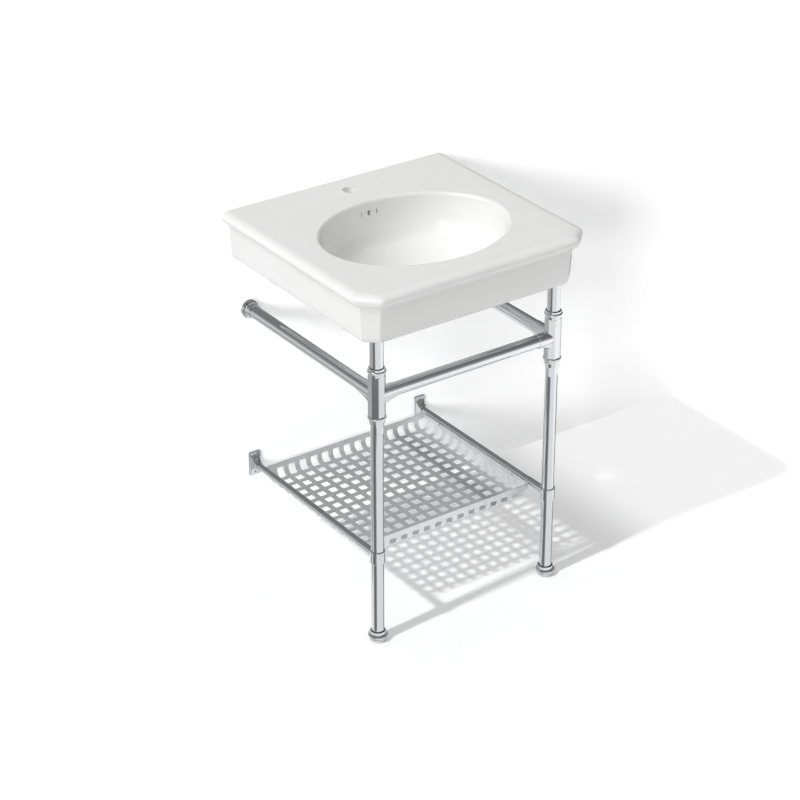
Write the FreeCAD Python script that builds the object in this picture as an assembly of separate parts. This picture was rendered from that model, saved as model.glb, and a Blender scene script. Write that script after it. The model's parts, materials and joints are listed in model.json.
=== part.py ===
import FreeCAD, Part
import os
from math import cos, pi, sin, sqrt, tan

# Console sink on two adjustable front legs, in millimetres.
# X runs to the right of a person standing at the sink, Y runs to the wall, Z is up.
# The origin lies on the wall plane, midway between the two wall bolts.

Vector = FreeCAD.Vector
RIGHT = Vector(1, 0, 0)
TO_WALL = Vector(0, 1, 0)
UP = Vector(0, 0, 1)

# Overall sizes
sink_width = 628.0
sink_depth = 583.0
sink_height = 907.0
bolt_drop = 75.0
leg_inset = 68.0
leg_setback = 58.0
tee_drop = 263.5
shelf_height = 226.5

# Basin, vitreous china
china_wall = 11.0
deck_thickness = 13.0
roll_width = 22.0
roll_height = 12.0
roll_sections = 6
slab_underside = ((1.2, 18.0), (4.8, 23.5), (10.8, 28.5), (15.6, 32.0), (18.2, 37.0))
band_inset = 19.3
band_drop = 45.5
apron_inset = 21.0
apron_taper = 3.0
apron_height = 127.0
apron_wall = 22.0
apron_edge_radius = 20.0
corner_chamfer = 45.0
corner_radius = 16.0
corner_sharpening = 0.3
bowl_side_margin = 76.0
bowl_front_margin = 71.5
bowl_rear_margin = 135.5
bowl_depth = 145.0
bowl_rear_lean = 26.0
bowl_rim_roll = 9.0
bowl_shoulder_drop = 96.0
bowl_shoulder_share = 0.93
bowl_floor_share = 0.3
bowl_floor_rise = 7.0
bowl_floor_radius = 90.0
bowl_side_radius = 70.0
bowl_lift = 40.0
drain_hole = 45.0
drain_boss_wall = 12.0
faucet_hole = 35.0
faucet_to_wall = 62.0
overflow_count = 3
overflow_pitch = 23.5
overflow_width = 8.0
overflow_height = 13.0
overflow_drop = 30.0
duct_width = 62.0
duct_foot = 26.0
duct_gap = 9.0
duct_wall = 8.0
bolt_spacing = 280.0
bolt_hole = 14.0
bolt_pad = 44.0
bolt_pad_depth = 5.0
leg_boss = 56.0
leg_seat_depth = 10.0
leg_stud = 12.0
leg_stud_height = 26.0

# Tubes
stub_diameter = 31.5
leg_diameter = 30.0
rail_diameter = 31.0
bar_diameter = 31.0
shelf_rail_diameter = 16.0
tube_wall = 1.5
washer_thickness = 2.0
plug_length = 24.0
plug_edge = 1.0

# Octagonal tees
tee_flats = 37.5
tee_half_height = 50.0
tee_bead_diameter = 43.5
tee_bead_height = 9.5
tee_neck_diameter = 38.0
tee_shoulder = 5.0
tee_neck_height = 4.5
tee_lip_recess = 3.0
tee_lip_gap = 1.2
tee_foot_taper = 15.0
tee_neck_edge = 1.0
tee_foot_lip = 1.0
tee_foot_curl = 3.0
tee_bead_rounding = 0.49
tee_arm_wall = 1.1
tee_arm_edge = 0.6
tee_bar_arm = 47.0
tee_rail_arm = 61.0
gusset_drop = 28.0
gusset_width = 26.0
gusset_edge = 7.0
gusset_sink = 6.0
gusset_tip = 1.0
gusset_run_share = 0.28
gusset_fall_share = 0.3
stub_socket = 14.0
leg_socket = 14.0
socket_depth = 18.0
tee_bore = 24.0

# Adjustable feet
pad_diameter = 38.0
pad_top_diameter = 44.0
pad_height = 9.0
pad_low_edge = 0.8
pad_high_edge = 1.5
pad_hub_edge = 0.4
sole_thickness = 3.0
sole_inset = 2.0
sole_stand = 0.8
foot_bead_diameter = 47.5
foot_bead_height = 9.0
foot_neck_diameter = 37.0
foot_neck_top = 27.0
foot_neck_wall = 2.0
foot_neck_edge = 0.5
foot_bead_rounding = 0.48
foot_cup_floor = 5.0
foot_edge = 1.0
foot_tube_end = 14.6
foot_stud = 10.0
foot_stud_top = 52.0
insert_length = 26.0
swivel_diameter = 12.0
swivel_depth = 4.0
foot_gap = 0.3
insert_lift = 1.0

# Shelf collars and wall brackets
collar_diameter = 35.5
collar_height = 32.0
collar_edge = 2.0
sleeve_diameter = 18.4
sleeve_reach = 76.0
sleeve_socket = 30.0
elbow_length = 12.0
elbow_width = 12.0
elbow_rise = 0.5
elbow_sink = 1.5
elbow_lift = 1.0
bracket_width = 32.0
bracket_height = 64.0
bracket_thickness = 5.0
bracket_corner = 4.0
bracket_front_edge = 1.5
# width, height, corner radius and distance from the wall of each boss section
bracket_boss = ((27.0, 46.0, 4.0, 4.5), (22.0, 27.0, 6.0, 10.5), (20.5, 20.5, 10.0, 22.0))
bracket_hole = 5.0
bracket_hole_spacing = 48.0

# Wall flanges of the upper rails
flange_diameter = 46.0
flange_thickness = 7.0
flange_bead_diameter = 41.0
flange_bead_height = 8.0
flange_neck_diameter = 36.0
flange_neck_end = 27.0
flange_disc_edge = 3.0
flange_groove = 0.5
flange_bead_rounding = 0.45
flange_neck_run = 2.0
flange_neck_edge = 1.0
flange_neck_taper = 1.4
flange_screw_reach = 21.0
rail_gap = 1.0
hub_length = 24.0
hub_hole = 6.5

# Perforated shelf tray, folded from one sheet
sheet = 1.5
tray_bend = 15.0
tray_floor_drop = 36.0
tray_rim_rise = 1.3
tray_setback = 58.0
tray_rear_to_wall = 36.3
hole_columns = 13
hole_rows = 12
hole_bar = 13.8
column_margin = 41.6
row_margin = 36.6
slot_top_drop = 14.0
slot_run = 22.9
tray_corner = 6.0
tray_screw_spacing = 300.0
tray_screw_drop = 4.0

# Fits and fasteners
fit = 0.05
seat = 0.2
overlap = 1.0
touch = 0.0001
screw_diameter = 4.0
screw_head = 6.5
screw_head_height = 2.0
screw_dome_share = 0.8
screw_tip = 0.5
screw_reach = 7.0
set_screw = 5.0
set_screw_length = 3.0

# Heights and places that follow
deck = bolt_drop
ground = deck - sink_height
tee_level = deck - tee_drop
shelf_level = ground + shelf_height
leg_x = sink_width / 2 - leg_inset
leg_y = leg_setback - sink_depth
bowl_half_width = sink_width / 2 - bowl_side_margin
bowl_half_length = (sink_depth - bowl_front_margin - bowl_rear_margin) / 2
bowl_centre_to_wall = bowl_rear_margin + bowl_half_length
china_base = deck - apron_height
leg_top = china_base + leg_seat_depth - washer_thickness
tray_half_width = leg_x - sleeve_diameter / 2 - seat
tray_front_to_wall = -leg_y - tray_setback
tray_half_length = (tray_front_to_wall - tray_rear_to_wall) / 2
tray_middle = -(tray_front_to_wall + tray_rear_to_wall) / 2
tray_floor = shelf_level - tray_floor_drop
tray_rim = shelf_level + tray_rim_rise
SIDES = {"left": -1, "right": 1}


def rod(radius, base, axis, length):
    return Part.makeCylinder(radius, length, base, axis)


def tube(outer, wall, base, axis, length):
    inner = outer / 2 - wall
    return rod(outer / 2, base, axis, length).cut(rod(inner, base, axis, length))


def centred_box(width, depth, height, centre):
    corner = centre - Vector(width / 2, depth / 2, height / 2)
    return Part.makeBox(width, depth, height, corner)


def rounded_wire(corners):
    """Closed wire through corners of (point, radius)."""
    starts = []
    ends = []
    middles = []
    count = len(corners)
    for index, (point, radius) in enumerate(corners):
        before = (corners[index - 1][0] - point).normalize()
        after = (corners[(index + 1) % count][0] - point).normalize()
        half = before.getAngle(after) / 2
        run = radius / tan(half)
        centre = point + (before + after).normalize() * (radius / sin(half)) if radius else point
        starts.append(point + before * run)
        ends.append(point + after * run)
        middles.append(centre + (point - centre).normalize() * radius if radius else None)
    edges = []
    for index in range(count):
        if middles[index] is not None:
            edges.append(Part.Arc(starts[index], middles[index], ends[index]).toShape())
        following = starts[(index + 1) % count]
        if (following - ends[index]).Length > touch:
            edges.append(Part.LineSegment(ends[index], following).toShape())
    return Part.Wire(edges)


def turned(corners, base, axis):
    """Solid of revolution from corners of (radius, height, rounding) about an axis at base."""
    wire = rounded_wire([(Vector(r, 0, h), rounding) for r, h, rounding in corners])
    solid = Part.Face(wire).revolve(Vector(), UP, 360)
    solid.Placement = FreeCAD.Placement(base, FreeCAD.Rotation(UP, axis))
    return solid


def basin_outline(inset, level):
    """Plan of the basin, drawn in by inset: chamfered in front, running a little past the wall."""
    side = sink_width / 2 - inset
    front = -sink_depth + inset
    chamfer = corner_chamfer - inset * (2 - sqrt(2))
    radius = corner_radius - corner_sharpening * inset
    corners = [
        (Vector(-side, overlap, level), 0),
        (Vector(-side, front + chamfer, level), radius),
        (Vector(-side + chamfer, front, level), radius),
        (Vector(side - chamfer, front, level), radius),
        (Vector(side, front + chamfer, level), radius),
        (Vector(side, overlap, level), 0),
    ]
    return rounded_wire(corners)


def straight_block(*sections):
    return Part.makeLoft([basin_outline(inset, level) for inset, level in sections], True, True)


def curved_block(sections):
    return Part.makeLoft([basin_outline(inset, level) for inset, level in sections], True, False)


def quarter_round(inset, level, run, rise):
    """Sections from the upright side at (inset, level) over a quarter ellipse to its flat end."""
    angles = [index / roll_sections * pi / 2 for index in range(roll_sections + 1)]
    return [(inset + run * (1 - cos(angle)), level + rise * sin(angle)) for angle in angles]


def basin_block():
    """The outside of the basin: rolled slab, stepped band and tapered apron."""
    rolled = quarter_round(0, deck - roll_height, roll_width, roll_height)
    under = [(inset, deck - drop) for inset, drop in slab_underside]
    slab = curved_block(under[::-1] + rolled)
    slab_base = under[-1][1]
    band_base = deck - band_drop
    band = straight_block((band_inset, band_base - overlap), (band_inset, slab_base + overlap))
    apron_end = apron_inset + apron_taper
    round_start = china_base + apron_edge_radius
    apron = straight_block((apron_end, round_start), (apron_inset, band_base))
    foot = curved_block(quarter_round(apron_end, round_start, apron_edge_radius, -apron_edge_radius))
    in_front = centred_box(2 * sink_width, 2 * sink_depth, 2 * sink_height, -TO_WALL * sink_depth)
    return slab.fuse([band, apron, foot]).common(in_front)


def bowl_form(offset):
    """The bowl as a solid, grown by offset: a turned form made oval, leaning towards the wall."""
    reach = bowl_half_width - bowl_rim_roll + offset
    bottom = -bowl_depth - offset
    corners = [
        (Vector(0, 0, bowl_lift), 0),
        (Vector(0, 0, bottom), 0),
        (Vector(reach * bowl_floor_share, 0, bottom + bowl_floor_rise), bowl_floor_radius),
        (Vector(reach * bowl_shoulder_share, 0, -bowl_shoulder_drop), bowl_side_radius),
    ]
    if offset:
        corners.append((Vector(reach, 0, 0), 0))
        corners.append((Vector(reach, 0, bowl_lift), 0))
    else:
        corners.append((Vector(reach, 0, 0), bowl_rim_roll))
        corners.append((Vector(reach + bowl_lift, 0, 0), 0))
        corners.append((Vector(reach + bowl_lift, 0, bowl_lift), 0))
    form = Part.Face(rounded_wire(corners)).revolve(Vector(), UP, 360)
    squeeze = (bowl_half_length + offset) / (bowl_half_width + offset)
    lean = -bowl_rear_lean / bowl_depth
    matrix = FreeCAD.Matrix(1, 0, 0, 0, 0, squeeze, lean, -bowl_centre_to_wall, 0, 0, 1, deck)
    return form.transformGeometry(matrix)


def below_deck(shape):
    """Keep what lies under the middle of the deck's thickness."""
    top = deck - deck_thickness / 2
    room = centred_box(2 * sink_width, 2 * sink_depth, sink_height, Vector(0, 0, top - sink_height / 2))
    return shape.common(room)


def underside_hollow():
    inset = apron_inset + apron_taper + apron_wall
    hollow = straight_block((inset, china_base - overlap), (inset, deck - deck_thickness))
    rear = centred_box(sink_width, 2 * china_wall, 2 * apron_height, Vector(0, 0, deck - apron_height))
    return hollow.cut(rear)


def overflow_duct(offset, margin):
    """Slice of the grown bowl from the overflow holes to the drain, where it is narrow."""
    front = -bowl_centre_to_wall + bowl_rear_lean
    top = deck - overflow_drop + overflow_height / 2 + offset - china_wall
    foot = duct_foot / 2 + margin
    head = duct_width / 2 + margin
    low = top - sink_height
    plan = [
        Vector(-foot, front, low), Vector(foot, front, low),
        Vector(head, 0, low), Vector(-head, 0, low),
    ]
    wedge = Part.Face(Part.makePolygon(plan + plan[:1])).extrude(UP * sink_height)
    return bowl_form(offset).common(wedge)


def overflow_hole(x):
    """Upright slot with round ends through the rear wall of the bowl."""
    radius = overflow_width / 2
    straight = overflow_height - overflow_width
    reach = bowl_half_length - 2 * china_wall
    start = Vector(x, -bowl_centre_to_wall + reach, deck - overflow_drop)
    run = 4 * china_wall
    slot = Part.makeBox(overflow_width, run, straight, start - Vector(radius, 0, straight / 2))
    for end in (-1, 1):
        slot = slot.fuse(rod(radius, start + UP * (end * straight / 2), TO_WALL, run))
    return slot.common(overflow_duct(china_wall + duct_gap / 2, 0))


def basin():
    block = basin_block()
    drain_y = -bowl_centre_to_wall + bowl_rear_lean
    shell = below_deck(bowl_form(china_wall))
    solid = block.cut(underside_hollow()).fuse(shell)

    added = [below_deck(overflow_duct(china_wall + duct_gap + duct_wall, duct_wall))]
    drain_base = deck - bowl_depth - china_wall - duct_gap - duct_wall
    boss_radius = drain_hole / 2 + drain_boss_wall
    added.append(rod(boss_radius, Vector(0, drain_y, drain_base), UP, china_wall + duct_gap + duct_wall))
    for side in SIDES.values():
        seat_point = Vector(side * leg_x, leg_y, china_base)
        added.append(rod(leg_boss / 2, seat_point, UP, apron_height - overlap).common(block))
        pad_point = Vector(side * bolt_spacing / 2, -china_wall - bolt_pad_depth, 0)
        added.append(rod(bolt_pad / 2, pad_point, TO_WALL, china_wall + bolt_pad_depth))
    solid = solid.fuse(added)

    removed = [bowl_form(0)]
    duct_inner = overflow_duct(china_wall + duct_gap, 0)
    removed.append(duct_inner.cut(bowl_form(china_wall)))
    removed.append(rod(drain_hole / 2, Vector(0, drain_y, drain_base - overlap), UP, sink_height))
    removed.append(rod(faucet_hole / 2, Vector(0, -faucet_to_wall, 0), UP, apron_height))
    first = -(overflow_count - 1) / 2
    for index in range(overflow_count):
        removed.append(overflow_hole((first + index) * overflow_pitch))
    for side in SIDES.values():
        seat_point = Vector(side * leg_x, leg_y, china_base - overlap)
        removed.append(rod(stub_diameter / 2 + seat, seat_point, UP, leg_seat_depth + overlap))
        removed.append(rod(leg_stud / 2 + fit, seat_point, UP, leg_stud_height + overlap))
        hole_point = Vector(side * bolt_spacing / 2, -2 * bolt_pad, 0)
        removed.append(rod(bolt_hole / 2, hole_point, TO_WALL, 3 * bolt_pad))
    for tool in removed:
        solid = solid.cut(tool)
    return solid


def leg_stub(side):
    base = tee_level + tee_half_height - stub_socket
    return tube(stub_diameter, tube_wall, Vector(side * leg_x, leg_y, base), UP, leg_top - base)


def leg_top_plug(side):
    """Plug in the top of the stub, with the stud that enters the china."""
    plug_radius = stub_diameter / 2 - tube_wall - fit
    stud_end = washer_thickness + leg_stud_height - leg_seat_depth - seat
    corners = [
        (0, -plug_length, 0), (plug_radius, -plug_length, plug_edge), (plug_radius, 0, 0),
        (leg_stud / 2, 0, 0), (leg_stud / 2, stud_end, plug_edge), (0, stud_end, 0),
    ]
    return turned(corners, Vector(side * leg_x, leg_y, leg_top), UP)


def leg_top_washer(side):
    base = Vector(side * leg_x, leg_y, leg_top)
    washer_wall = stub_diameter / 2 - leg_stud / 2 - seat
    return tube(stub_diameter, washer_wall, base, UP, washer_thickness)


def leg_tube(side):
    top = tee_level - tee_half_height + leg_socket
    base = ground + foot_tube_end
    return tube(leg_diameter, tube_wall, Vector(side * leg_x, leg_y, base), UP, top - base)


def octagon_bar():
    """Upright bar with eight flats, two of them facing the bar and two the wall."""
    corner = tee_flats / 2 / cos(pi / 8)
    angles = [pi / 8 + index * pi / 4 for index in range(8)]
    points = [Vector(corner * cos(a), corner * sin(a), -tee_half_height) for a in angles]
    face = Part.Face(Part.makePolygon(points + points[:1]))
    return face.extrude(UP * (2 * tee_half_height))


def bead(radius, height, base):
    """Half-round ring about the upright axis."""
    round_off = height * tee_bead_rounding
    corners = [(radius / 2, base, 0), (radius, base, round_off),
               (radius, base + height, round_off), (radius / 2, base + height, 0)]
    return turned(corners, Vector(), UP)


def tee_arm(diameter, reach, axis):
    """Arm that takes a rail end, with the concave web under it."""
    radius = diameter / 2 + tee_arm_wall
    arm = rod(radius, Vector(), axis, reach)
    end_rim = [e for e in arm.Edges if e.Closed and e.CenterOfMass.Length > touch]
    arm = arm.makeChamfer(tee_arm_edge, end_rim)
    flat = tee_flats / 2 - gusset_sink
    top = Vector(flat, 0, 0)
    low = Vector(flat, 0, -gusset_drop)
    run = gusset_run_share * (reach - tee_flats / 2)
    fall = gusset_fall_share * (gusset_drop - radius)
    middle = Vector(tee_flats / 2 + run, 0, -radius - fall)
    tip = reach - gusset_tip
    end = Vector(tip, 0, tee_arm_edge - radius)
    edges = [
        Part.LineSegment(top, low).toShape(),
        Part.Arc(low, middle, end).toShape(),
        Part.LineSegment(end, Vector(tip, 0, 0)).toShape(),
        Part.LineSegment(Vector(tip, 0, 0), top).toShape(),
    ]
    web = Part.Face(Part.Wire(edges)).extrude(TO_WALL * gusset_width)
    web.translate(TO_WALL * (-gusset_width / 2))
    rims = [e for e in web.Edges if e.Curve.TypeId == "Part::GeomCircle"]
    web = web.makeFillet(gusset_edge, rims)
    web.Placement = FreeCAD.Placement(Vector(), FreeCAD.Rotation(RIGHT, axis))
    return arm.fuse(web)


def tee(side):
    """Cast tee: octagonal body between beads, arms to the towel bar and to the wall."""
    bead_radius = tee_bead_diameter / 2
    neck = tee_neck_diameter / 2
    low_bead = -tee_half_height - tee_bead_height
    high_bead = tee_half_height + tee_shoulder
    top_end = high_bead + tee_bead_height + tee_neck_height
    low_end = low_bead - tee_foot_taper
    inner = neck / 2
    start = tee_half_height - overlap
    upper = [(inner, start, 0), (neck, start, 0), (neck, top_end, tee_neck_edge), (inner, top_end, 0)]
    lip = leg_diameter / 2 + tee_foot_lip
    lower = [
        (inner, low_bead + overlap, 0), (inner, low_end, 0), (lip, low_end, 0),
        (neck, low_bead - tee_foot_curl, tee_foot_curl), (neck, low_bead + overlap, 0),
    ]
    pieces = [
        bead(bead_radius, tee_bead_height, high_bead),
        bead(bead_radius, tee_bead_height, low_bead),
        turned(upper, Vector(), UP),
        turned(lower, Vector(), UP),
        tee_arm(bar_diameter, tee_bar_arm, RIGHT),
        tee_arm(rail_diameter, tee_rail_arm, TO_WALL),
    ]
    solid = octagon_bar().fuse(pieces)
    removed = [
        rod(tee_bore / 2, Vector(0, 0, low_end - overlap), UP, top_end - low_end + 2 * overlap),
        rod(stub_diameter / 2 + fit, Vector(0, 0, tee_half_height - stub_socket), UP, sink_height),
        rod(stub_diameter / 2 + tee_lip_gap, Vector(0, 0, top_end - tee_lip_recess), UP, sink_height),
        rod(leg_diameter / 2 + fit, Vector(0, 0, leg_socket - tee_half_height), -UP, sink_height),
        rod(bar_diameter / 2 + fit, RIGHT * (tee_bar_arm - socket_depth), RIGHT, sink_width),
        rod(rail_diameter / 2 + fit, TO_WALL * (tee_rail_arm - socket_depth), TO_WALL, sink_depth),
        rod(tee_bore / 2, Vector(), RIGHT, tee_bar_arm),
        rod(tee_bore / 2, Vector(), TO_WALL, tee_rail_arm),
    ]
    for reach, direction in ((tee_bar_arm, RIGHT), (tee_rail_arm, TO_WALL)):
        middle = direction * (reach - socket_depth / 2)
        removed.append(rod(set_screw / 2 + fit, middle, -UP, tee_half_height))
    for tool in removed:
        solid = solid.cut(tool)
    if side > 0:
        solid = solid.mirror(Vector(), RIGHT)
    solid.translate(Vector(side * leg_x, leg_y, tee_level))
    return solid


def foot_insert(side):
    """Threaded plug in the bottom of the leg tube."""
    radius = leg_diameter / 2 - tube_wall - fit
    base = Vector(side * leg_x, leg_y, ground + foot_tube_end + insert_lift)
    return rod(radius, base, UP, insert_length).cut(rod(foot_stud / 2 + fit, base, UP, insert_length))


def foot_screw(side):
    """Stud, bead and skirt in one: turning the bead winds the foot in or out."""
    bead_radius = foot_bead_diameter / 2
    bead_base = pad_height + foot_gap
    bead_top = bead_base + foot_bead_height
    neck = foot_neck_diameter / 2
    stud = foot_stud / 2
    cup = neck - foot_neck_wall
    floor = bead_top - foot_cup_floor
    swivel = swivel_diameter / 2
    swivel_base = bead_base - swivel_depth
    round_off = foot_bead_height * foot_bead_rounding
    corners = [
        (0, swivel_base, 0), (swivel, swivel_base, foot_edge), (swivel, bead_base, 0),
        (bead_radius, bead_base, round_off), (bead_radius, bead_top, round_off),
        (neck, bead_top, foot_neck_edge), (neck, foot_neck_top, foot_edge),
        (cup, foot_neck_top, foot_neck_edge), (cup, floor, 0), (stud, floor, 0),
        (stud, foot_stud_top, foot_edge), (0, foot_stud_top, 0),
    ]
    return turned(corners, Vector(side * leg_x, leg_y, ground), UP)


def foot_pad(side):
    """Base disc, recessed under for the sole and on top for the swivel."""
    low = pad_diameter / 2
    high = pad_top_diameter / 2
    sole = low - sole_inset
    hub = swivel_diameter / 2 + seat
    corners = [
        (0, sole_thickness, 0), (sole, sole_thickness, 0), (sole, sole_stand, 0),
        (low, sole_stand, pad_low_edge), (high, pad_height, pad_high_edge),
        (hub, pad_height, pad_hub_edge), (hub, pad_height - swivel_depth, 0),
        (0, pad_height - swivel_depth, 0),
    ]
    return turned(corners, Vector(side * leg_x, leg_y, ground), UP)


def foot_sole(side):
    base = Vector(side * leg_x, leg_y, ground)
    return rod(pad_diameter / 2 - sole_inset - fit, base, UP, sole_thickness)


def side_rail(side):
    start = leg_y + tee_rail_arm - socket_depth
    base = Vector(side * leg_x, start, tee_level)
    return tube(rail_diameter, tube_wall, base, TO_WALL, -rail_gap - start)


def wall_hub(side):
    """Plug screwed to the wall inside the rail's end."""
    base = Vector(side * leg_x, 0, tee_level)
    radius = rail_diameter / 2 - tube_wall - fit
    return rod(radius, base, -TO_WALL, hub_length).cut(rod(hub_hole / 2, base, -TO_WALL, hub_length))


def wall_flange(side):
    """Turned flange over the rail's end: disc, bead and neck."""
    disc = flange_diameter / 2
    ring = flange_bead_diameter / 2
    neck = flange_neck_diameter / 2
    bore = rail_diameter / 2 + fit
    ring_end = flange_thickness + flange_bead_height
    round_off = flange_bead_height * flange_bead_rounding
    corners = [
        (bore, 0, 0), (disc, 0, 0), (disc, flange_thickness, flange_disc_edge),
        (neck, flange_thickness, flange_groove), (ring, flange_thickness + flange_groove, round_off),
        (ring, ring_end, round_off), (neck, ring_end, flange_groove),
        (neck, flange_neck_end - flange_neck_run, flange_neck_edge),
        (neck - flange_neck_taper, flange_neck_end, 0), (bore, flange_neck_end, 0),
    ]
    solid = turned(corners, Vector(side * leg_x, 0, tee_level), -TO_WALL)
    screw_point = Vector(side * leg_x, -flange_screw_reach, tee_level)
    return solid.cut(rod(set_screw / 2 + fit, screw_point, -UP, flange_diameter))


def shelf_rail(side):
    start = leg_y + sleeve_reach - sleeve_socket
    end = -bracket_thickness
    base = Vector(side * leg_x, start, shelf_level)
    rail = tube(shelf_rail_diameter, tube_wall, base, TO_WALL, end - start)
    for point in tray_screw_points(side):
        rail = rail.cut(rod(screw_diameter / 2 + fit, point, RIGHT * side, screw_reach))
    return rail


def shelf_collar(side):
    """Collar round the leg with its sleeve for the shelf rail."""
    radius = collar_diameter / 2
    half = collar_height / 2
    bore = leg_diameter / 2 + fit
    body = [(0, -half, 0), (radius, -half, collar_edge), (radius, half, collar_edge), (0, half, 0)]
    solid = turned(body, Vector(), UP)
    sleeve = rod(sleeve_diameter / 2, Vector(), TO_WALL, sleeve_reach)
    end_rim = [e for e in sleeve.Edges if e.Closed and e.CenterOfMass.y > touch]
    sleeve = sleeve.makeFillet(collar_edge / 2, end_rim)
    elbow_end = radius + elbow_length
    elbow_level = elbow_rise - sleeve_diameter / 2
    elbow_base = elbow_lift - half
    profile = [
        (Vector(0, 0, 0), 0), (Vector(0, elbow_end, 0), 0),
        (Vector(0, elbow_end, elbow_level), 0), (Vector(0, radius - elbow_sink, elbow_level), 0),
        (Vector(0, radius - elbow_sink, elbow_base), 0), (Vector(0, 0, elbow_base), 0),
    ]
    web = Part.Face(rounded_wire(profile)).extrude(RIGHT * elbow_width)
    web.translate(RIGHT * (-elbow_width / 2))
    solid = solid.fuse([sleeve, web])
    solid = solid.cut(rod(bore, Vector(0, 0, -half), UP, collar_height))
    rail_start = TO_WALL * (sleeve_reach - sleeve_socket)
    solid = solid.cut(rod(shelf_rail_diameter / 2 + fit, rail_start, TO_WALL, sleeve_reach))
    screw_point = rail_start + TO_WALL * (sleeve_socket / 2)
    solid = solid.cut(rod(set_screw / 2 + fit, screw_point, -UP, collar_height))
    solid.translate(Vector(side * leg_x, leg_y, shelf_level))
    return solid


def upright_plate(width, height, radius, y):
    x = width / 2
    z = height / 2
    corners = [Vector(-x, y, -z), Vector(x, y, -z), Vector(x, y, z), Vector(-x, y, z)]
    return rounded_wire([(corner, radius) for corner in corners])


def wall_bracket(side):
    """Wall plate with a flared boss that takes the shelf rail."""
    plate = Part.Face(upright_plate(bracket_width, bracket_height, bracket_corner, 0))
    plate = plate.extrude(-TO_WALL * bracket_thickness)
    front = [e for e in plate.Edges if abs(e.BoundBox.YMax + bracket_thickness) < touch]
    plate = plate.makeFillet(bracket_front_edge, front)
    boss = [upright_plate(width, height, radius, -reach) for width, height, radius, reach in bracket_boss]
    solid = plate.fuse(Part.makeLoft(boss, True, True))
    rail_room = rod(shelf_rail_diameter / 2 + fit, -TO_WALL * bracket_thickness, -TO_WALL, sink_depth)
    solid = solid.cut(rail_room)
    for end in (-1, 1):
        point = Vector(0, 0, end * bracket_hole_spacing / 2)
        solid = solid.cut(rod(bracket_hole / 2, point, -TO_WALL, bracket_thickness))
    solid.translate(Vector(side * leg_x, 0, shelf_level))
    return solid


def front_towel_bar():
    start = -leg_x + tee_bar_arm - socket_depth
    return tube(bar_diameter, tube_wall, Vector(start, leg_y, tee_level), RIGHT, -2 * start)


def folded_block(inset):
    """Space inside the folded sheet, drawn in by inset, open upwards past the rim."""
    half_width = tray_half_width - inset
    half_length = tray_half_length - inset
    base = tray_floor + inset
    top = tray_rim if inset == 0 else tray_rim + overlap
    bend = tray_bend + sheet - inset
    across = rounded_wire([
        (Vector(-half_width, 0, top), 0), (Vector(-half_width, 0, base), bend),
        (Vector(half_width, 0, base), bend), (Vector(half_width, 0, top), 0)])
    along = rounded_wire([
        (Vector(0, -half_length, top), 0), (Vector(0, -half_length, base), bend),
        (Vector(0, half_length, base), bend), (Vector(0, half_length, top), 0)])
    first = Part.Face(across).extrude(TO_WALL * sink_depth)
    first.translate(-TO_WALL * (sink_depth / 2))
    second = Part.Face(along).extrude(RIGHT * sink_width)
    second.translate(-RIGHT * (sink_width / 2))
    return first.common(second)


def spread(count, half):
    """Evenly spaced places from -half to half."""
    return [half * (2 * index / (count - 1) - 1) for index in range(count)]


def tray_openings():
    """Square holes of the floor, and the slots that run through each bend."""
    tools = []
    deep = tray_floor - overlap
    slot_top = tray_rim - slot_top_drop
    slot_height = slot_top - deep
    columns = spread(hole_columns, tray_half_width - column_margin)
    rows = spread(hole_rows, tray_half_length - row_margin)
    width = columns[1] - columns[0] - hole_bar
    length = rows[1] - rows[0] - hole_bar
    for x in columns:
        for y in rows:
            corner = Vector(x - width / 2, y - length / 2, deep)
            tools.append(Part.makeBox(width, length, sheet + 2 * overlap, corner))
    side_start = columns[-1] + slot_run
    end_start = rows[-1] + slot_run
    reach = sink_width
    for sign in (-1, 1):
        for y in rows:
            corner = Vector(min(sign * side_start, sign * reach), y - length / 2, deep)
            tools.append(Part.makeBox(reach - side_start, length, slot_height, corner))
        for x in columns:
            corner = Vector(x - width / 2, min(sign * end_start, sign * reach), deep)
            tools.append(Part.makeBox(width, reach - end_start, slot_height, corner))
    notch_x = columns[-1] + width / 2 + hole_bar
    notch_y = rows[-1] + length / 2 + hole_bar
    for sx in (-1, 1):
        for sy in (-1, 1):
            corner = Vector(min(sx * notch_x, sx * reach), min(sy * notch_y, sy * reach), deep)
            tools.append(Part.makeBox(reach - notch_x, reach - notch_y, slot_height, corner))
    return tools


def shelf_tray():
    """Perforated tray: one sheet, every edge bent up, rounded at its corners above the notches."""
    solid = folded_block(0).cut(folded_block(sheet))
    tools = tray_openings()
    corner_base = tray_rim - slot_top_drop
    corners = []
    for sx in (-1, 1):
        for sy in (-1, 1):
            x = sx * (tray_half_width - tray_corner)
            y = sy * (tray_half_length - tray_corner)
            low = Vector(min(x, x + sx * sink_width), min(y, y + sy * sink_width), corner_base)
            block = Part.makeBox(sink_width, sink_width, 2 * slot_top_drop, low)
            tools.append(block)
            ring = tube(2 * tray_corner, sheet, Vector(x, y, corner_base), UP, slot_top_drop)
            corners.append(ring.common(block))
    solid = solid.cut(tools)
    solid = solid.fuse(corners).removeSplitter()
    solid.translate(TO_WALL * tray_middle)
    for side in SIDES.values():
        for point in tray_screw_points(side):
            start = point - RIGHT * (side * sheet)
            solid = solid.cut(rod(screw_diameter / 2 + fit, start, RIGHT * side, 2 * sheet))
    return solid


def tray_screw_points(side):
    """Where the screws cross the inner face of the tray's side."""
    x = side * (tray_half_width - sheet)
    z = shelf_level - tray_screw_drop
    return [Vector(x, tray_middle + end * tray_screw_spacing / 2, z) for end in (-1, 1)]


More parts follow.
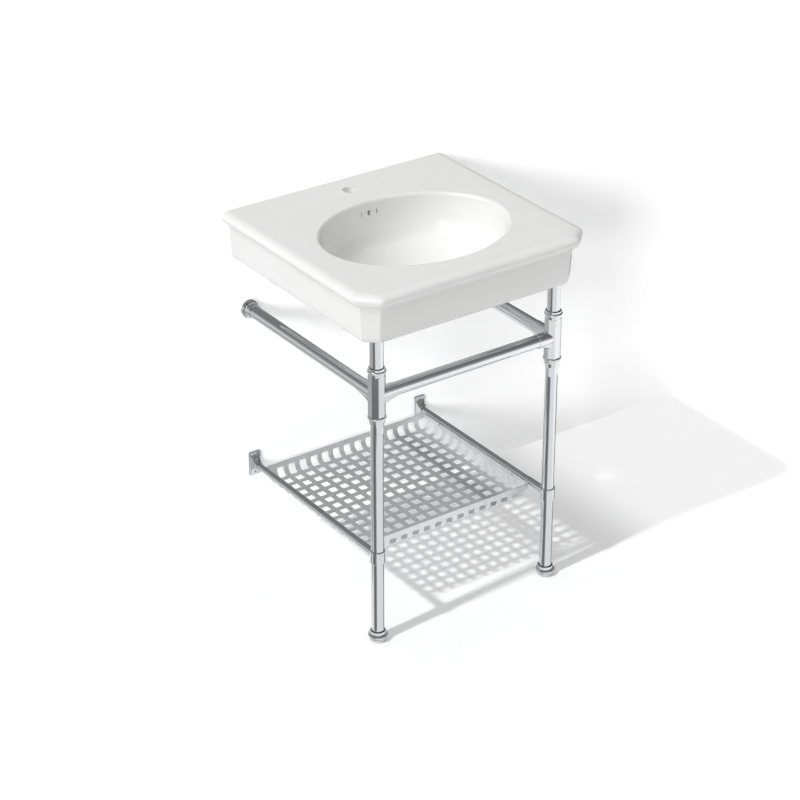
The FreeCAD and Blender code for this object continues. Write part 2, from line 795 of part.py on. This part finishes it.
def tray_screws():
    """Domed screws from inside the tray into the shelf rails."""
    head = screw_head / 2
    shank = screw_diameter / 2
    dome = screw_head_height * screw_dome_share
    corners = [
        (0, -screw_head_height, 0), (head, -screw_head_height, dome), (head, 0, 0),
        (shank, 0, 0), (shank, screw_reach, screw_tip), (0, screw_reach, 0),
    ]
    screws = []
    for side in SIDES.values():
        for point in tray_screw_points(side):
            screws.append(turned(corners, point, RIGHT * side))
    return Part.makeCompound(screws)


def grub(point):
    """Short set screw that bears upwards on the rail over it."""
    return rod(set_screw / 2, point, -UP, set_screw_length)


def tee_set_screws():
    screws = []
    for side in SIDES.values():
        for reach, radius, direction in (
            (tee_bar_arm, bar_diameter / 2, Vector(-side, 0, 0)),
            (tee_rail_arm, rail_diameter / 2, TO_WALL),
        ):
            centre = Vector(side * leg_x, leg_y, tee_level) + direction * (reach - socket_depth / 2)
            screws.append(grub(centre - UP * radius))
    return Part.makeCompound(screws)


def collar_set_screws():
    y = leg_y + sleeve_reach - sleeve_socket / 2
    z = shelf_level - shelf_rail_diameter / 2
    return Part.makeCompound([grub(Vector(side * leg_x, y, z)) for side in SIDES.values()])


def flange_set_screws():
    z = tee_level - rail_diameter / 2
    points = [Vector(side * leg_x, -flange_screw_reach, z) for side in SIDES.values()]
    return Part.makeCompound([grub(point) for point in points])


PAIRED = {
    "leg_stub": leg_stub, "leg_top_plug": leg_top_plug, "leg_top_washer": leg_top_washer, "tee": tee,
    "leg_tube": leg_tube, "foot_insert": foot_insert, "foot_screw": foot_screw, "foot_pad": foot_pad,
    "foot_sole": foot_sole, "side_rail": side_rail, "wall_hub": wall_hub, "wall_flange": wall_flange,
    "shelf_rail": shelf_rail, "shelf_collar": shelf_collar, "wall_bracket": wall_bracket,
}


def save(name, shape):
    state = "valid" if shape.isValid() else "NOT VALID"
    print(name, len(shape.Solids), "solids,", state, round(shape.Volume / 1000, 1), "cm3")
    shape.exportStep("parts/" + name + ".step")


os.makedirs("parts", exist_ok=True)
save("basin", basin())
save("front_towel_bar", front_towel_bar())
save("shelf_tray", shelf_tray())
save("tray_screws", tray_screws())
save("tee_set_screws", tee_set_screws())
save("collar_set_screws", collar_set_screws())
save("flange_set_screws", flange_set_screws())
for side_name, side_sign in SIDES.items():
    for piece_name, make in PAIRED.items():
        save(side_name + "_" + piece_name, make(side_sign))
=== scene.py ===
import bpy
import json
import math
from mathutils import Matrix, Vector


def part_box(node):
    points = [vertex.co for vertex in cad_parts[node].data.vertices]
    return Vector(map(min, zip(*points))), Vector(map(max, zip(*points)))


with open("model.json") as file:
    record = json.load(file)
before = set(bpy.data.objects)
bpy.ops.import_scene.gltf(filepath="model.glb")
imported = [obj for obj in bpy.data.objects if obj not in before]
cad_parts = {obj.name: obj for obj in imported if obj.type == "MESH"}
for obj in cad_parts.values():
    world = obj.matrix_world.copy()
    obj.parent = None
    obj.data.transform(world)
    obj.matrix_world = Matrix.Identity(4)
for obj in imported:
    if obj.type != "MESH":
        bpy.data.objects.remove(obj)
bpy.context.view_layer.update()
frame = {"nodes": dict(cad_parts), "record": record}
nodes = frame["nodes"]
mm = 0.001
print("frame loaded:", len(nodes), "nodes")

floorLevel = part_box("left_foot_sole")[0].z


def linear(hexColour):
    # sRGB hex to linear RGBA
    parts = [int(hexColour[i:i + 2], 16) / 255 for i in (0, 2, 4)]
    return [p / 12.92 if p <= 0.04045 else ((p + 0.055) / 1.055) ** 2.4 for p in parts] + [1.0]


def addNode(tree, kind, settings=None, inputs=None, links=None):
    # one node: its properties, its socket values, and the sockets that feed it
    node = tree.nodes.new(kind)
    for key, value in (settings or {}).items():
        setattr(node, key, value)
    for key, value in (inputs or {}).items():
        node.inputs[key].default_value = value
    for key, source in (links or {}).items():
        tree.links.new(source, node.inputs[key])
    return node


def newMaterial(name):
    material = bpy.data.materials.new(name)
    material.use_nodes = True
    tree = material.node_tree
    tree.nodes.clear()
    output = tree.nodes.new("ShaderNodeOutputMaterial")
    return material, tree, output


def perMetre(sizeMm):
    # how many features of this size fit in a metre, for a noise scale
    return 1000.0 / sizeMm


# basin: vitreous china, slip cast, sprayed with opaque white glaze and fired
china = {
    "glaze": "EDEDED",            # opaque zircon white
    "thinGlaze": "E9E9E8",        # a little warmer where the glaze is thin
    "ior": 1.52,
    "roughness": 0.09,
    "poolMm": 120.0,              # broad drift in glaze thickness
    "orangePeelMm": 14.0,         # slow ripple of the sprayed glaze
    "orangePeelDepthMm": 0.05,
    "orangePeelStrength": 0.12,
}


def glazedVitreousChina():
    # clear gloss over a dense white body: soft ripple in reflections, no grain
    material, tree, output = newMaterial("glazedVitreousChina")
    place = addNode(tree, "ShaderNodeTexCoord")
    pool = addNode(tree, "ShaderNodeTexNoise", {},
                   {"Scale": perMetre(china["poolMm"]), "Detail": 2.0},
                   {"Vector": place.outputs["Object"]})
    tint = addNode(tree, "ShaderNodeMix", {"data_type": "RGBA"},
                   {"A": linear(china["glaze"]), "B": linear(china["thinGlaze"])},
                   {"Factor": pool.outputs["Fac"]})
    ripple = addNode(tree, "ShaderNodeTexNoise", {},
                     {"Scale": perMetre(china["orangePeelMm"]), "Detail": 1.0},
                     {"Vector": place.outputs["Object"]})
    bump = addNode(tree, "ShaderNodeBump", {},
                   {"Strength": china["orangePeelStrength"],
                    "Distance": china["orangePeelDepthMm"] * mm},
                   {"Height": ripple.outputs["Fac"]})
    shader = addNode(tree, "ShaderNodeBsdfPrincipled", {},
                     {"Roughness": china["roughness"], "IOR": china["ior"]},
                     {"Base Color": tint.outputs["Result"], "Normal": bump.outputs["Normal"]})
    tree.links.new(shader.outputs["BSDF"], output.inputs["Surface"])
    return material


# legs, rails, tees and fittings: chrome plate on brass, buffed to a mirror
chrome = {
    "bright": "D8DADC",
    "smoky": "CFD2D5",
    "roughness": 0.05,
    "sharpest": 0.7,              # share of that roughness where the buffing is best
    "dullest": 1.5,               # and where it is worst
    "buffMm": 9.0,                # soft unevenness left by the buffing wheel
    "buffDepthMm": 0.02,
    "buffStrength": 0.1,
}


def buffedChromePlate():
    # a mirror: cool bands of light and dark run along the tubes, hardly blurred
    material, tree, output = newMaterial("buffedChromePlate")
    place = addNode(tree, "ShaderNodeTexCoord")
    buff = addNode(tree, "ShaderNodeTexNoise", {},
                   {"Scale": perMetre(chrome["buffMm"]), "Detail": 2.0},
                   {"Vector": place.outputs["Object"]})
    tint = addNode(tree, "ShaderNodeMix", {"data_type": "RGBA"},
                   {"A": linear(chrome["bright"]), "B": linear(chrome["smoky"])},
                   {"Factor": buff.outputs["Fac"]})
    rough = addNode(tree, "ShaderNodeMapRange", {},
                    {"To Min": chrome["roughness"] * chrome["sharpest"],
                     "To Max": chrome["roughness"] * chrome["dullest"]},
                    {"Value": buff.outputs["Fac"]})
    bump = addNode(tree, "ShaderNodeBump", {},
                   {"Strength": chrome["buffStrength"], "Distance": chrome["buffDepthMm"] * mm},
                   {"Height": buff.outputs["Fac"]})
    shader = addNode(tree, "ShaderNodeBsdfPrincipled", {}, {"Metallic": 1.0},
                     {"Base Color": tint.outputs["Result"], "Roughness": rough.outputs["Result"],
                      "Normal": bump.outputs["Normal"]})
    tree.links.new(shader.outputs["BSDF"], output.inputs["Surface"])
    return material


# tray: punched and folded steel sheet under satin chrome
tray = {
    "satin": "F4F5F6",
    "dull": "E4E6E8",
    "roughness": 0.62,
    "grainMm": 1.6,               # real satin is finer, drawn coarser so that it shows
    "grainDepthMm": 0.02,
    "grainStrength": 0.2,
}


def satinChromeSheet():
    # the fine grain scatters light: an even pale grey sheen with no clear reflections
    material, tree, output = newMaterial("satinChromeSheet")
    place = addNode(tree, "ShaderNodeTexCoord")
    grain = addNode(tree, "ShaderNodeTexNoise", {},
                    {"Scale": perMetre(tray["grainMm"]), "Detail": 3.0},
                    {"Vector": place.outputs["Object"]})
    tint = addNode(tree, "ShaderNodeMix", {"data_type": "RGBA"},
                   {"A": linear(tray["satin"]), "B": linear(tray["dull"])},
                   {"Factor": grain.outputs["Fac"]})
    bump = addNode(tree, "ShaderNodeBump", {},
                   {"Strength": tray["grainStrength"], "Distance": tray["grainDepthMm"] * mm},
                   {"Height": grain.outputs["Fac"]})
    shader = addNode(tree, "ShaderNodeBsdfPrincipled", {},
                     {"Metallic": 1.0, "Roughness": tray["roughness"]},
                     {"Base Color": tint.outputs["Result"], "Normal": bump.outputs["Normal"]})
    tree.links.new(shader.outputs["BSDF"], output.inputs["Surface"])
    return material


# foot soles: moulded rubber
rubber = {
    "black": "1B1B1C",
    "bloom": "28282A",            # greyer where the surface has bloomed
    "ior": 1.5,
    "roughness": 0.62,
    "grainMm": 1.2,               # real mould grain is finer, drawn coarser so that it shows
    "grainDepthMm": 0.05,
    "grainStrength": 0.3,
}


def mouldedRubber():
    # near black and dull, with a faint grain from the mould
    material, tree, output = newMaterial("mouldedRubber")
    place = addNode(tree, "ShaderNodeTexCoord")
    grain = addNode(tree, "ShaderNodeTexNoise", {},
                    {"Scale": perMetre(rubber["grainMm"]), "Detail": 3.0},
                    {"Vector": place.outputs["Object"]})
    tint = addNode(tree, "ShaderNodeMix", {"data_type": "RGBA"},
                   {"A": linear(rubber["black"]), "B": linear(rubber["bloom"])},
                   {"Factor": grain.outputs["Fac"]})
    bump = addNode(tree, "ShaderNodeBump", {},
                   {"Strength": rubber["grainStrength"], "Distance": rubber["grainDepthMm"] * mm},
                   {"Height": grain.outputs["Fac"]})
    shader = addNode(tree, "ShaderNodeBsdfPrincipled", {},
                     {"Roughness": rubber["roughness"], "IOR": rubber["ior"]},
                     {"Base Color": tint.outputs["Result"], "Normal": bump.outputs["Normal"]})
    tree.links.new(shader.outputs["BSDF"], output.inputs["Surface"])
    return material


# leg top washers: moulded nylon
nylon = {
    "pale": "E2E0D8",
    "warm": "D8D5CB",
    "ior": 1.53,
    "roughness": 0.4,
    "cloudMm": 6.0,               # slow flow marks of the moulding
}


def mouldedNylon():
    # creamy and half matt, faintly clouded
    material, tree, output = newMaterial("mouldedNylon")
    place = addNode(tree, "ShaderNodeTexCoord")
    cloud = addNode(tree, "ShaderNodeTexNoise", {}, {"Scale": perMetre(nylon["cloudMm"])},
                    {"Vector": place.outputs["Object"]})
    tint = addNode(tree, "ShaderNodeMix", {"data_type": "RGBA"},
                   {"A": linear(nylon["pale"]), "B": linear(nylon["warm"])},
                   {"Factor": cloud.outputs["Fac"]})
    shader = addNode(tree, "ShaderNodeBsdfPrincipled", {},
                     {"Roughness": nylon["roughness"], "IOR": nylon["ior"]},
                     {"Base Color": tint.outputs["Result"]})
    tree.links.new(shader.outputs["BSDF"], output.inputs["Surface"])
    return material


# inserts, wall hubs and grub screws in plain steel, leg top plugs in zinc plate
steel = {
    "turned": ("B4B4B3", "9C9C9B"),
    "zincPlated": ("C2C5C9", "ABAFB5"),
    "roughness": 0.35,
    "grainMm": 0.8,               # real tool marks are finer, drawn coarser so that they show
}


def turnedSteel(name, tones):
    # grey metal, softly blurred and speckled by the tool marks
    light, dark = tones
    material, tree, output = newMaterial(name)
    place = addNode(tree, "ShaderNodeTexCoord")
    grain = addNode(tree, "ShaderNodeTexNoise", {},
                    {"Scale": perMetre(steel["grainMm"]), "Detail": 4.0},
                    {"Vector": place.outputs["Object"]})
    tint = addNode(tree, "ShaderNodeMix", {"data_type": "RGBA"},
                   {"A": linear(light), "B": linear(dark)}, {"Factor": grain.outputs["Fac"]})
    shader = addNode(tree, "ShaderNodeBsdfPrincipled", {},
                     {"Metallic": 1.0, "Roughness": steel["roughness"]},
                     {"Base Color": tint.outputs["Result"]})
    tree.links.new(shader.outputs["BSDF"], output.inputs["Surface"])
    return material


finishes = {
    "china": glazedVitreousChina(),
    "chrome": buffedChromePlate(),
    "tray_chrome": satinChromeSheet(),
    "screw_chrome": buffedChromePlate(),
    "steel": turnedSteel("turnedSteel", steel["turned"]),
    "zinc": turnedSteel("zincPlatedSteel", steel["zincPlated"]),
    "nylon": mouldedNylon(),
    "rubber": mouldedRubber(),
}
for entry in frame["record"]["subparts"]:
    piece = nodes[entry["node"]]
    piece.data.materials.clear()
    piece.data.materials.append(finishes[entry["material_slot"]])
print("materials assigned")


# camera at the photograph's place
camera = {
    "place": (-2.9466, -4.4369, 3.198),   # metres, the height is above the floor
    "azimuth": -35.235,                   # degrees
    "elevation": 28.379,
    "lens": 110.51,                       # mm, as is the sensor
    "sensor": 36.0,
}


def makeCamera():
    data = bpy.data.cameras.new("photoCamera")
    data.lens = camera["lens"]
    data.sensor_width = camera["sensor"]
    holder = bpy.data.objects.new("photoCamera", data)
    x, y, z = camera["place"]
    holder.location = (x, y, z + floorLevel)
    a = math.radians(camera["azimuth"])
    e = math.radians(camera["elevation"])
    back = Vector((math.sin(a) * math.cos(e), -math.cos(a) * math.cos(e), math.sin(e)))
    holder.rotation_mode = "QUATERNION"
    holder.rotation_quaternion = (-back).to_track_quat("-Z", "Y")
    bpy.context.collection.objects.link(holder)
    bpy.context.scene.camera = holder


makeCamera()
print("camera ready")


def seenDirectly(tree):
    # 1 for camera, glossy and transmission rays: what looks at the background
    path = addNode(tree, "ShaderNodeLightPath")
    both = addNode(tree, "ShaderNodeMath", {"operation": "MAXIMUM"}, {},
                   {0: path.outputs["Is Camera Ray"], 1: path.outputs["Is Glossy Ray"]})
    return addNode(tree, "ShaderNodeMath", {"operation": "MAXIMUM"}, {},
                   {0: both.outputs[0], 1: path.outputs["Is Transmission Ray"]}).outputs[0]


def cloudyColour(tree, place, light, dark, cloudMm):
    # two close tones, mixed by a slow noise
    cloud = addNode(tree, "ShaderNodeTexNoise", {}, {"Scale": perMetre(cloudMm), "Detail": 2.0},
                    {"Vector": place.outputs["Object"]})
    return addNode(tree, "ShaderNodeMix", {"data_type": "RGBA"},
                   {"A": linear(light), "B": linear(dark)},
                   {"Factor": cloud.outputs["Fac"]}).outputs["Result"]


def stageSheet(name, points, faces, material):
    mesh = bpy.data.meshes.new(name)
    mesh.from_pydata(points, [], faces)
    mesh.materials.append(material)
    sheet = bpy.data.objects.new(name, mesh)
    bpy.context.collection.objects.link(sheet)
    return sheet


# floor and wall: matt white studio paper
paper = {
    "clean": "F6F6F6",
    "worn": "F3F3F3",
    "cloudMm": 90.0,
    "half": 14.0,                 # metres from the middle to an edge, and up the wall
    "floorLift": 0.1,             # brings the lit floor to white, its shadows stay under
    "farLift": 0.38,              # and more of it right of the sink: painted light that fades out the sink's floor shadow there
    "farStart": 0.44,             # metres to the right where that starts
    "farEnd": 0.66,               # and where it is full
    "wallLift": 0.2,
    "wallGapMm": 0.6,             # behind the flanges
}


def palePaper(name, lift, farLift, oneSided):
    # flat white that takes soft shadows, with a faint glow for direct looks at it
    material, tree, output = newMaterial(name)
    place = addNode(tree, "ShaderNodeTexCoord")
    shade = cloudyColour(tree, place, paper["clean"], paper["worn"], paper["cloudMm"])
    diffuse = addNode(tree, "ShaderNodeBsdfDiffuse", {}, {}, {"Color": shade})
    split = addNode(tree, "ShaderNodeSeparateXYZ", {}, {}, {"Vector": place.outputs["Object"]})
    # the glow grows to the right on the floor: painted light over the sink's shadow there
    rise = addNode(tree, "ShaderNodeMapRange", {"interpolation_type": "SMOOTHSTEP"},
                   {"From Min": paper["farStart"], "From Max": paper["farEnd"],
                    "To Min": lift, "To Max": farLift},
                   {"Value": split.outputs["X"]})
    glow = addNode(tree, "ShaderNodeEmission", {}, {}, {"Strength": rise.outputs["Result"]})
    gate = addNode(tree, "ShaderNodeMixShader", {}, {}, {0: seenDirectly(tree), 2: glow.outputs[0]})
    sheet = addNode(tree, "ShaderNodeAddShader", {}, {}, {0: diffuse.outputs[0], 1: gate.outputs[0]})
    if oneSided:
        # nothing from behind, so the back of the sink can be looked at
        side = addNode(tree, "ShaderNodeNewGeometry")
        clear = addNode(tree, "ShaderNodeBsdfTransparent")
        sheet = addNode(tree, "ShaderNodeMixShader", {}, {},
                        {0: side.outputs["Backfacing"], 1: sheet.outputs[0], 2: clear.outputs[0]})
    tree.links.new(sheet.outputs[0], output.inputs["Surface"])
    return material


def makeFloor():
    half = paper["half"]
    corners = [(x * half, y * half, floorLevel) for x, y in ((-1, -1), (1, -1), (1, 1), (-1, 1))]
    material = palePaper("floorPaper", paper["floorLift"], paper["farLift"], False)
    stageSheet("studioFloor", corners, [(0, 1, 2, 3)], material)


def makeWall():
    # stands behind the sink, faces the front, and stays out of reflections
    half = paper["half"]
    y = paper["wallGapMm"] * mm
    corners = [(-half, y, floorLevel), (half, y, floorLevel), (half, y, half), (-half, y, half)]
    material = palePaper("wallPaper", paper["wallLift"], paper["wallLift"], True)
    wall = stageSheet("studioWall", corners, [(0, 1, 2, 3)], material)
    wall.visible_glossy = False
    wall.visible_diffuse = False
    wall.visible_shadow = False
    return wall


makeFloor()
wall = makeWall()
print("floor and wall ready")


# grey cloths on the floor, out of frame: only reflections see them
cloths = [
    {"name": "leftCloth", "light": "858586", "dark": "7F7F80", "x": (-6.0, -0.9), "y": (-1.3, -0.36)},
    {"name": "sideCloth", "light": "C6C6C7", "dark": "C0C0C1", "x": (-6.0, -0.42), "y": (-0.36, 3.0)},
    {"name": "rearCloth", "light": "ACACAD", "dark": "A6A6A7", "x": (0.5, 6.0), "y": (-0.1, 5.0)},
]
greyCloudMm = 40.0                # for the cloths and the strips
clothLiftMm = 2.0                 # above the floor

# curved strips round each leg, also for reflections only: the dark cores of the tubes
# bearings are degrees from the camera's side, plus to its right
strips = [
    {"name": "coreStrip", "light": "7A7A7B", "dark": "737374", "from": -50.0, "to": -26.0, "radius": 0.058},
    {"name": "softStrip", "light": "A2A2A3", "dark": "9B9B9C", "from": -62.0, "to": -12.0, "radius": 0.062},
    {"name": "edgeStrip", "light": "A4A4A5", "dark": "9D9D9E", "from": 100.0, "to": 140.0, "radius": 0.06},
]
stripHeight = 0.52                # metres, up from the floor
stripSteps = 8                    # flat faces in a curve


def onlyReflected(sheet):
    sheet.visible_camera = False
    sheet.visible_diffuse = False
    sheet.visible_shadow = False


def makeCloth(cloth):
    # dull grey, lit by the lamps
    material, tree, output = newMaterial(cloth["name"])
    place = addNode(tree, "ShaderNodeTexCoord")
    shade = cloudyColour(tree, place, cloth["light"], cloth["dark"], greyCloudMm)
    diffuse = addNode(tree, "ShaderNodeBsdfDiffuse", {}, {}, {"Color": shade})
    tree.links.new(diffuse.outputs[0], output.inputs["Surface"])
    z = floorLevel + clothLiftMm * mm
    (x0, x1), (y0, y1) = cloth["x"], cloth["y"]
    corners = [(x0, y0, z), (x1, y0, z), (x1, y1, z), (x0, y1, z)]
    onlyReflected(stageSheet(cloth["name"], corners, [(0, 1, 2, 3)], material))


def makeStrip(foot, strip):
    # glows with a steady tone of its own, so the lamps don't change it: painted dark reflections for the
    # tube cores
    material, tree, output = newMaterial(strip["name"])
    place = addNode(tree, "ShaderNodeTexCoord")
    shade = cloudyColour(tree, place, strip["light"], strip["dark"], greyCloudMm)
    glow = addNode(tree, "ShaderNodeEmission", {}, {}, {"Color": shade})
    tree.links.new(glow.outputs[0], output.inputs["Surface"])
    low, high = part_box(foot)
    centre = (low + high) / 2
    points = []
    for step in range(stripSteps + 1):
        bearing = strip["from"] + (strip["to"] - strip["from"]) * step / stripSteps
        turn = math.radians(camera["azimuth"] + bearing)
        x = centre.x + math.sin(turn) * strip["radius"]
        y = centre.y - math.cos(turn) * strip["radius"]
        points += [(x, y, floorLevel), (x, y, floorLevel + stripHeight)]
    faces = [(2 * i, 2 * i + 2, 2 * i + 3, 2 * i + 1) for i in range(stripSteps)]
    onlyReflected(stageSheet(strip["name"], points, faces, material))


for cloth in cloths:
    makeCloth(cloth)
for foot in ("left_foot_sole", "right_foot_sole"):
    for strip in strips:
        makeStrip(foot, strip)
print("cloths and strips ready")


# the sky: heights and sides are shares of a direction of length 1
sky = {
    "fillLow": 0.12,              # light on the object from eye level
    "fillHigh": 0.98,             # and from overhead
    "horizon": 1.0,               # what metal and glaze see at eye level
    "ceiling": 0.32,              # and overhead
    "fallStart": 0.02,            # heights between which the one fades to the other
    "fallEnd": 0.5,
    "rightShade": 0.3,            # share of it that is left far on the right
    "shadeStart": 0.48,
    "shadeEnd": 0.66,
}


def makeWorld():
    world = bpy.data.worlds.new("studioWorld")
    bpy.context.scene.world = world
    world.use_nodes = True
    tree = world.node_tree
    tree.nodes.clear()
    place = addNode(tree, "ShaderNodeTexCoord")
    split = addNode(tree, "ShaderNodeSeparateXYZ", {}, {}, {"Vector": place.outputs["Generated"]})
    dome = addNode(tree, "ShaderNodeMapRange", {},
                   {"From Min": 0.0, "From Max": 1.0,
                    "To Min": sky["fillLow"], "To Max": sky["fillHigh"]},
                   {"Value": split.outputs["Z"]})
    fall = addNode(tree, "ShaderNodeMapRange", {"interpolation_type": "SMOOTHSTEP"},
                   {"From Min": sky["fallStart"], "From Max": sky["fallEnd"],
                    "To Min": sky["horizon"], "To Max": sky["ceiling"]},
                   {"Value": split.outputs["Z"]})
    shade = addNode(tree, "ShaderNodeMapRange", {"interpolation_type": "SMOOTHSTEP"},
                    {"From Min": sky["shadeStart"], "From Max": sky["shadeEnd"],
                     "To Min": 1.0, "To Max": sky["rightShade"]},
                    {"Value": split.outputs["X"]})
    sight = addNode(tree, "ShaderNodeMath", {"operation": "MULTIPLY"}, {},
                    {0: fall.outputs["Result"], 1: shade.outputs["Result"]})
    fill = addNode(tree, "ShaderNodeBackground", {}, {}, {"Strength": dome.outputs["Result"]})
    seen = addNode(tree, "ShaderNodeBackground", {}, {}, {"Strength": sight.outputs[0]})
    gate = addNode(tree, "ShaderNodeMixShader", {}, {},
                   {0: seenDirectly(tree), 1: fill.outputs[0], 2: seen.outputs[0]})
    addNode(tree, "ShaderNodeOutputWorld", {}, {}, {"Surface": gate.outputs[0]})


makeWorld()
print("sky ready")


# travel is the way the light goes, and the angle in degrees sets how soft its shadows get
sideTravel = (0.76, 0.57, -0.30)
sideAngle = 13.0
lamps = {
    "keyLamp": {"travel": (0.66, 0.05, -0.74), "strength": 1.86, "angle": 2.6},
    "sideLamp": {"travel": sideTravel, "strength": 0.2, "angle": sideAngle},
    "chinaLamp": {"travel": (0.74, 0.02, -0.67), "strength": 2.0, "angle": 45.0},
    "wallLamp": {"travel": sideTravel, "strength": 1.8, "angle": sideAngle},
}


def sunLamp(name):
    settings = lamps[name]
    lamp = bpy.data.lights.new(name, "SUN")
    lamp.energy = settings["strength"]
    lamp.angle = math.radians(settings["angle"])
    holder = bpy.data.objects.new(name, lamp)
    holder.rotation_mode = "QUATERNION"
    holder.rotation_quaternion = Vector(settings["travel"]).to_track_quat("-Z", "Y")
    bpy.context.collection.objects.link(holder)
    return holder


def lightOnly(lamp, lit, state):
    # INCLUDE: the lamp lights this object alone, EXCLUDE: everything else
    group = bpy.data.collections.new(lamp.name)
    group.objects.link(lit)
    group.collection_objects[0].light_linking.link_state = state
    lamp.light_linking.receiver_collection = group


suns = {name: sunLamp(name) for name in lamps}
lightOnly(suns["chinaLamp"], nodes["basin"], "INCLUDE")   # broad light for the bowl
lightOnly(suns["wallLamp"], wall, "INCLUDE")              # more of the side lamp, on the wall
lightOnly(suns["keyLamp"], nodes["basin"], "EXCLUDE")     # its crisp shadows stay out of the bowl
bpy.context.scene.view_settings.view_transform = "Standard"
print("lamps ready")
